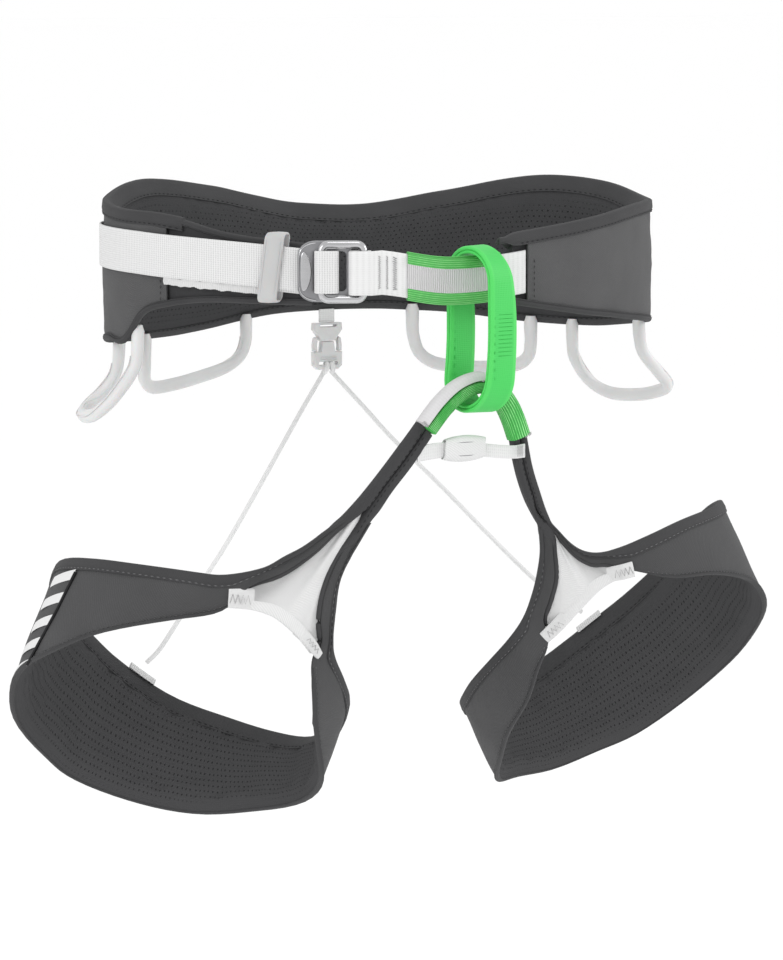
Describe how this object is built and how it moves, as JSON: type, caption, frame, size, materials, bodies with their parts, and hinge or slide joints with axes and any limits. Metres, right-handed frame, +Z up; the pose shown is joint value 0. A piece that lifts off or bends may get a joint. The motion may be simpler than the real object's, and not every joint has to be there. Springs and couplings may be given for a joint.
{
  "type": "climbing harness",
  "caption": "Padded climbing harness: waist belt with sliding buckle, belay loop, two leg loops, gear loops and a rear riser clip.",
  "frame": {"origin": "centre of the waist ring, at the height of the tie-in webbing", "axes": "+Z up, -Y towards the wearer's front, +X towards the wearer's left"},
  "size_m": [0.4427, 0.2157, 0.3413],
  "materials": {
    "outer_fabric": "dark grey woven polyester",
    "liner_mesh": "charcoal perforated mesh over foam",
    "foam": "closed-cell foam core",
    "binding": "dark grey binding tape",
    "white_webbing": "white woven polyamide webbing",
    "green_webbing": "bright green woven webbing",
    "grey_plastic": "light grey moulded plastic",
    "aluminium": "satin anodised",
    "polished_metal": "polished",
    "light_gusset": "light grey stretch fabric",
    "cord_fabric": "light grey elastic cord"
  },
  "bodies": {
    "waist_belt": {"waist_foam_pad": "foam", "waist_mesh_liner": "liner_mesh", "waist_outer_shell": "outer_fabric", "waist_load_tape": "white_webbing", "waist_top_binding": "binding", "waist_bottom_binding": "binding", "waist_load_strap": "white_webbing", "adjustment_strap": "white_webbing", "tie_in_webbing": "white_webbing", "upper_tie_in_protector": "green_webbing", "buckle_plate": "aluminium", "buckle_plate_bar": "aluminium", "lower_tie_in_webbing": "white_webbing", "lower_tie_in_protector": "green_webbing", "cross_strap_right": "white_webbing", "cross_strap_left": "white_webbing", "riser_tab": "light_gusset", "riser_clip_socket": "grey_plastic", "riser_clip_plug": "grey_plastic", "riser_cord_right": "cord_fabric", "riser_cord_left": "cord_fabric"},
    "buckle_ring": {"buckle_ring_frame": "polished_metal", "buckle_strap_turn": "white_webbing"},
    "strap_keeper": {"strap_keeper": "grey_plastic"},
    "belay_loop": {"belay_loop": "green_webbing"},
    "cross_strap_slider": {"cross_strap_slider": "light_gusset"},
    "leg_loop_right": {"right_leg_foam_pad": "foam", "right_leg_outer_shell": "outer_fabric", "right_leg_mesh_liner": "liner_mesh", "right_leg_upper_binding": "binding", "right_leg_hole_binding": "binding", "right_leg_stem": "outer_fabric", "right_leg_gusset": "light_gusset", "right_leg_riser_anchor": "white_webbing"},
    "leg_loop_left": {"left_leg_foam_pad": "foam", "left_leg_outer_shell": "outer_fabric", "left_leg_mesh_liner": "liner_mesh", "left_leg_upper_binding": "binding", "left_leg_hole_binding": "binding", "left_leg_stem": "outer_fabric", "left_leg_gusset": "light_gusset", "left_leg_riser_anchor": "white_webbing"},
    "gear_loop_front_right": {"gear_loop_front_right": "grey_plastic"},
    "gear_loop_rear_right": {"gear_loop_rear_right": "grey_plastic"},
    "gear_loop_rear_left": {"gear_loop_rear_left": "grey_plastic"},
    "gear_loop_front_left": {"gear_loop_front_left": "grey_plastic"},
    "riser_prong_right": {"riser_prong_right": "grey_plastic"},
    "riser_prong_left": {"riser_prong_left": "grey_plastic"}
  },
  "joints": [
    {"name": "buckle_ring_tilt", "type": "hinge", "parent": "waist_belt", "child": "buckle_ring", "pos_m": [-0.06567, -0.09789, 0.0058], "axis": [0, 0, 1], "range_deg": [0, 20]},
    {"name": "keeper_slide", "type": "slide", "parent": "waist_belt", "child": "strap_keeper", "axis": [0.8399, -0.5427, 0], "range_m": [-0.005, 0.005]},
    {"name": "belay_loop_turn", "type": "hinge", "parent": "waist_belt", "child": "belay_loop", "pos_m": [0, -0.0975, -0.0255], "axis": [0, 0, 1], "range_deg": [-15, 3]},
    {"name": "cross_slider_slide", "type": "slide", "parent": "waist_belt", "child": "cross_strap_slider", "axis": [1, 0, 0], "range_m": [-0.004, 0.005]},
    {"name": "right_leg_swing", "type": "hinge", "parent": "waist_belt", "child": "leg_loop_right", "pos_m": [-0.0309, -0.097, -0.0774], "axis": [1, 0, 0], "range_deg": [-30, 8], "stiffness_Nm_per_rad": 0.25, "springref_deg": 11.46, "deforming": ["riser_cord_right", "cross_strap_right"]},
    {"name": "left_leg_swing", "type": "hinge", "parent": "waist_belt", "child": "leg_loop_left", "pos_m": [0.0252, -0.097, -0.0849], "axis": [1, 0, 0], "range_deg": [-30, 8], "stiffness_Nm_per_rad": 0.25, "springref_deg": 11.46, "deforming": ["riser_cord_left", "cross_strap_left"]},
    {"name": "front_right_gear_flex", "type": "hinge", "parent": "waist_belt", "child": "gear_loop_front_right", "pos_m": [-0.14861, -0.00397, -0.03263], "axis": [0.2219, 0.9579, -0.1822], "range_deg": [-5, 20], "stiffness_Nm_per_rad": 0.03},
    {"name": "rear_right_gear_flex", "type": "hinge", "parent": "waist_belt", "child": "gear_loop_rear_right", "pos_m": [-0.11336, 0.06754, -0.04411], "axis": [0.9499, 0.3003, 0.0865], "range_deg": [-5, 45], "stiffness_Nm_per_rad": 0.03},
    {"name": "rear_left_gear_flex", "type": "hinge", "parent": "waist_belt", "child": "gear_loop_rear_left", "pos_m": [0.05748, 0.08725, -0.03552], "axis": [0.9289, -0.3537, -0.1099], "range_deg": [-5, 45], "stiffness_Nm_per_rad": 0.03},
    {"name": "front_left_gear_flex", "type": "hinge", "parent": "waist_belt", "child": "gear_loop_front_left", "pos_m": [0.13741, 0.04783, -0.04408], "axis": [0.1677, -0.9813, 0.0941], "range_deg": [-5, 20], "stiffness_Nm_per_rad": 0.03},
    {"name": "right_prong_squeeze", "type": "hinge", "parent": "waist_belt", "child": "riser_prong_right", "pos_m": [-0.0001, 0.0935, -0.0525], "axis": [0, 1, 0], "range_deg": [0, 6], "stiffness_Nm_per_rad": 0.02},
    {"name": "left_prong_squeeze", "type": "hinge", "parent": "waist_belt", "child": "riser_prong_left", "pos_m": [0.0147, 0.0935, -0.0525], "axis": [0, 1, 0], "range_deg": [-6, 0], "stiffness_Nm_per_rad": 0.02}
  ],
  "couplings": [
    {"joint": "left_prong_squeeze", "follows": "right_prong_squeeze", "ratio": -1}
  ]
}
